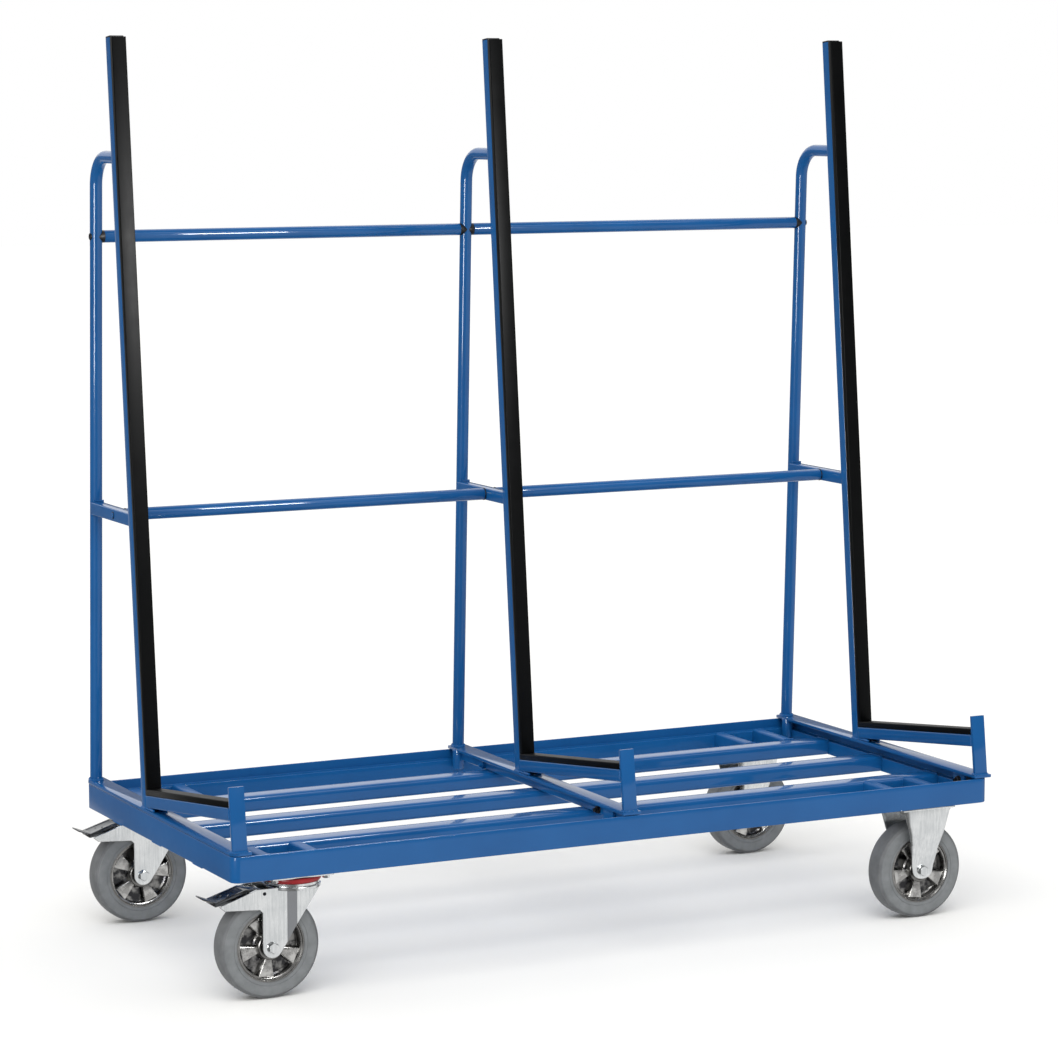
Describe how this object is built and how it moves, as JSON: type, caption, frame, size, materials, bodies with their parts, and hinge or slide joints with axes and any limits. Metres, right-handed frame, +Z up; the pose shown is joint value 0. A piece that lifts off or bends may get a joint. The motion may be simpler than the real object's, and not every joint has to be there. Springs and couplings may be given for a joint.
{
  "type": "sheet cart",
  "caption": "Flat cart for boards and sheets: leaning rubber-faced supports on an open tube deck, tie rails behind, swivel casters with brake pedals at one end and fixed casters at the other.",
  "frame": {"origin": "middle of the footprint box on the floor, under the wheels", "axes": "+X along the deck towards the fixed casters, -Y towards the loading side, +Z up"},
  "size_m": [1.732, 0.8, 1.8073],
  "materials": {
    "blue_paint": "semi-gloss powder coat",
    "black_rubber": "matt extruded strip",
    "black_plastic": "moulded",
    "zinc": "bright zinc plate",
    "red_plastic": "moulded",
    "cast_aluminium": "die-cast",
    "grey_tyre": "solid rubber"
  },
  "bodies": {
    "frame": {"front_rail": "blue_paint", "rear_rail": "blue_paint", "left_rail": "blue_paint", "right_rail": "blue_paint", "front_deck_beam": "blue_paint", "rear_deck_beam": "blue_paint", "centre_deck_beam": "blue_paint", "mid_cross_member": "blue_paint", "left_base_bar": "blue_paint", "left_rear_post": "blue_paint", "left_lean_post": "blue_paint", "left_toe_bar": "blue_paint", "left_post_rubber": "black_rubber", "left_toe_rubber": "black_rubber", "left_top_cap": "black_plastic", "middle_base_bar": "blue_paint", "middle_rear_post": "blue_paint", "middle_lean_post": "blue_paint", "middle_toe_bar": "blue_paint", "middle_post_rubber": "black_rubber", "middle_toe_rubber": "black_rubber", "middle_top_cap": "black_plastic", "right_base_bar": "blue_paint", "right_rear_post": "blue_paint", "right_lean_post": "blue_paint", "right_toe_bar": "blue_paint", "right_post_rubber": "black_rubber", "right_toe_rubber": "black_rubber", "right_top_cap": "black_plastic", "left_upper_rail": "blue_paint", "left_mid_rail": "blue_paint", "left_middle_saddle": "black_plastic", "middle_left_saddle": "black_plastic", "middle_upper_rail": "blue_paint", "middle_mid_rail": "blue_paint", "middle_right_saddle": "black_plastic", "right_middle_saddle": "black_plastic", "front_swivel_head": "zinc", "front_dust_ring": "red_plastic", "front_fixed_fork": "zinc", "front_fixed_axle": "zinc", "rear_swivel_head": "zinc", "rear_dust_ring": "red_plastic", "rear_fixed_fork": "zinc", "rear_fixed_axle": "zinc"},
    "front_swivel": {"front_swivel_fork": "zinc", "front_swivel_axle": "zinc"},
    "front_swivel_wheel": {"front_swivel_rim": "cast_aluminium", "front_swivel_tyre": "grey_tyre"},
    "front_pedal": {"front_brake_pedal": "zinc"},
    "front_fixed_wheel": {"front_fixed_rim": "cast_aluminium", "front_fixed_tyre": "grey_tyre"},
    "rear_swivel": {"rear_swivel_fork": "zinc", "rear_swivel_axle": "zinc"},
    "rear_swivel_wheel": {"rear_swivel_rim": "cast_aluminium", "rear_swivel_tyre": "grey_tyre"},
    "rear_pedal": {"rear_brake_pedal": "zinc"},
    "rear_fixed_wheel": {"rear_fixed_rim": "cast_aluminium", "rear_fixed_tyre": "grey_tyre"}
  },
  "joints": [
    {"name": "front_swivel_turn", "type": "hinge", "parent": "frame", "child": "front_swivel", "pos_m": [-0.678, -0.343, 0.22], "axis": [0, 0, 1], "continuous": true},
    {"name": "front_swivel_wheel_spin", "type": "hinge", "parent": "front_swivel", "child": "front_swivel_wheel", "pos_m": [-0.732, -0.343, 0.1], "axis": [0, 1, 0], "continuous": true},
    {"name": "front_pedal_press", "type": "hinge", "parent": "front_swivel", "child": "front_pedal", "pos_m": [-0.748, -0.343, 0.2047], "axis": [0, -1, 0], "range_deg": [0, 10]},
    {"name": "front_fixed_wheel_spin", "type": "hinge", "parent": "frame", "child": "front_fixed_wheel", "pos_m": [0.716, -0.343, 0.1], "axis": [0, 1, 0], "continuous": true},
    {"name": "rear_swivel_turn", "type": "hinge", "parent": "frame", "child": "rear_swivel", "pos_m": [-0.678, 0.343, 0.22], "axis": [0, 0, 1], "continuous": true},
    {"name": "rear_swivel_wheel_spin", "type": "hinge", "parent": "rear_swivel", "child": "rear_swivel_wheel", "pos_m": [-0.732, 0.343, 0.1], "axis": [0, 1, 0], "continuous": true},
    {"name": "rear_pedal_press", "type": "hinge", "parent": "rear_swivel", "child": "rear_pedal", "pos_m": [-0.748, 0.343, 0.2047], "axis": [0, -1, 0], "range_deg": [0, 10]},
    {"name": "rear_fixed_wheel_spin", "type": "hinge", "parent": "frame", "child": "rear_fixed_wheel", "pos_m": [0.716, 0.343, 0.1], "axis": [0, 1, 0], "continuous": true}
  ]
}
